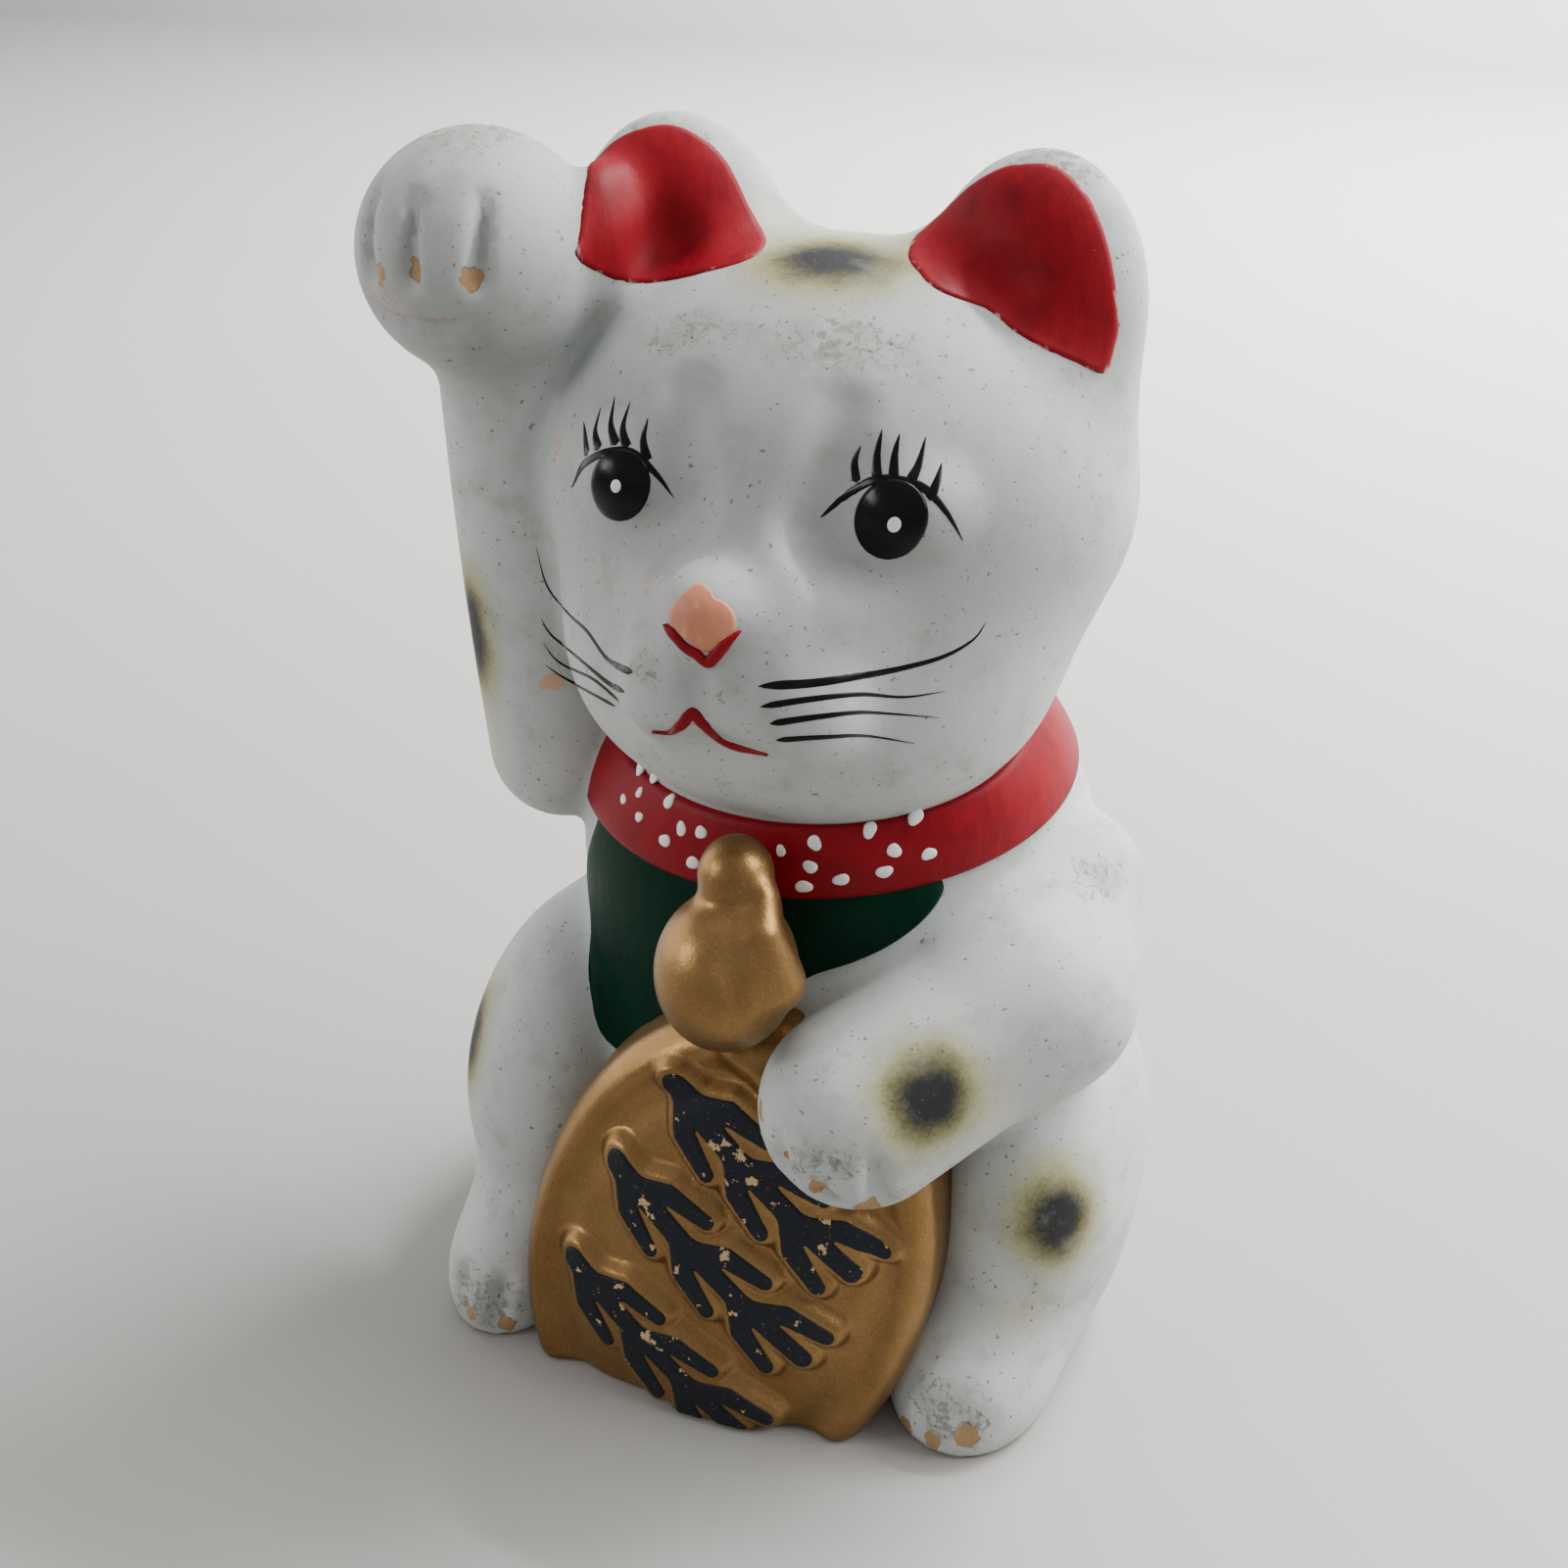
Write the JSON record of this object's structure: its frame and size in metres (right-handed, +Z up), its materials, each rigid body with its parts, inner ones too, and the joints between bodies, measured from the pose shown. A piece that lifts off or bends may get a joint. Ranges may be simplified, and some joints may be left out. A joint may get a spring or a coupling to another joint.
{
  "type": "beckoning cat figurine",
  "caption": "Hollow clay beckoning cat savings bank, one paw raised, an oval gold coin under the other, with a coin slot and a base stopper.",
  "frame": {"origin": "on the flat underside, on the body's own vertical axis; the stopper's hole is behind it", "axes": "+Z up, the cat faces -Y, +X is the cat's own left"},
  "size_m": [0.1407, 0.1262, 0.2149],
  "materials": {
    "white_paint": "matte cold paint on clay",
    "red_paint": "satin paint on clay",
    "green_paint": "satin paint on clay",
    "gold_paint": "gold metallic paint on clay",
    "black_paint": "satin paint on clay",
    "bare_clay": "bare fired clay",
    "rubber": "matte"
  },
  "bodies": {
    "figurine": {"base_slab": "bare_clay", "bell": "gold_paint", "bell_knob": "gold_paint", "bib": "green_paint", "body_back_half": "white_paint", "body_front_half": "white_paint", "coin": "gold_paint", "coin_arm": "white_paint", "coin_sprig_1": "black_paint", "coin_sprig_2": "black_paint", "coin_sprig_3": "black_paint", "collar": "red_paint", "ear_left": "white_paint", "ear_right": "white_paint", "foot_left": "white_paint", "foot_right": "white_paint", "raised_arm": "white_paint", "tail": "white_paint"},
    "stopper": {"stopper": "rubber"}
  },
  "joints": [
    {"name": "stopper_pull", "type": "slide", "parent": "figurine", "child": "stopper", "axis": [0, 0, -1], "range_m": [0, 0.03]}
  ]
}
